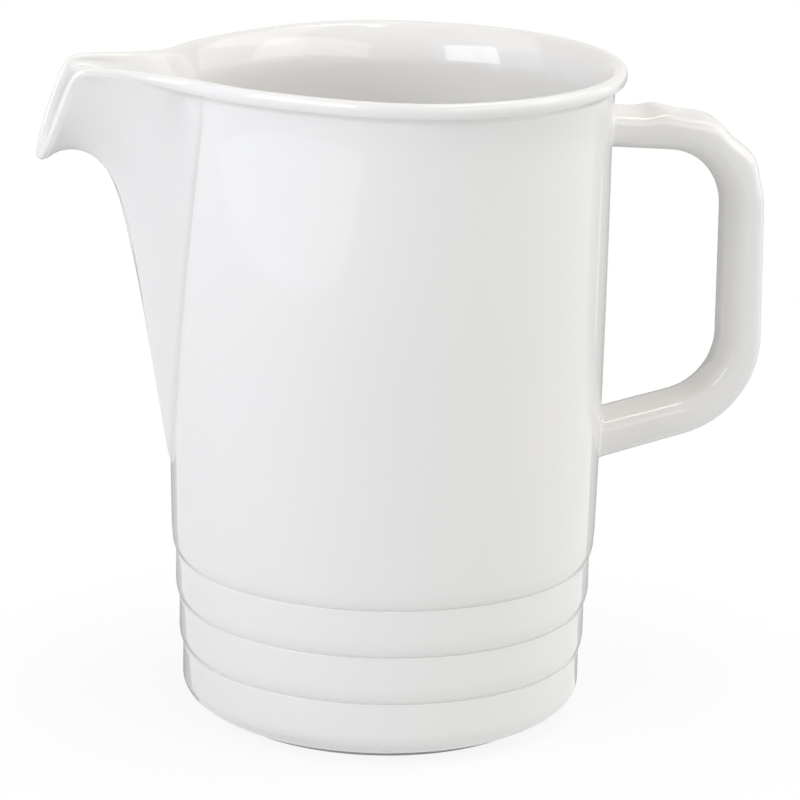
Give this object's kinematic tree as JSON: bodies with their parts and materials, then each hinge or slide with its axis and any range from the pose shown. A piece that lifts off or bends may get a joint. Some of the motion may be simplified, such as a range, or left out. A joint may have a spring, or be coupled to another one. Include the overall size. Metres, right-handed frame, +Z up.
{
  "type": "milk jug",
  "caption": "Straight-sided porcelain milk jug with stepped bands round the base, a flared rim, a deep V-shaped pouring spout and a strap handle with thumb ridges.",
  "frame": {"origin": "on the table, midway between the tip of the spout and the back of the handle", "axes": "+Z up along the body's axis, +X towards the handle, -X towards the spout, +Y across"},
  "size_m": [0.1722, 0.1076, 0.157],
  "materials": {
    "glazed_porcelain": "white porcelain under a clear high-gloss glaze, bare and matt on the foot ring"
  },
  "bodies": {
    "root": {"body": "glazed_porcelain", "spout": "glazed_porcelain", "spout_slip_seam": "glazed_porcelain", "handle": "glazed_porcelain", "upper_handle_slip_joint": "glazed_porcelain", "lower_handle_slip_joint": "glazed_porcelain"}
  },
  "joints": []
}
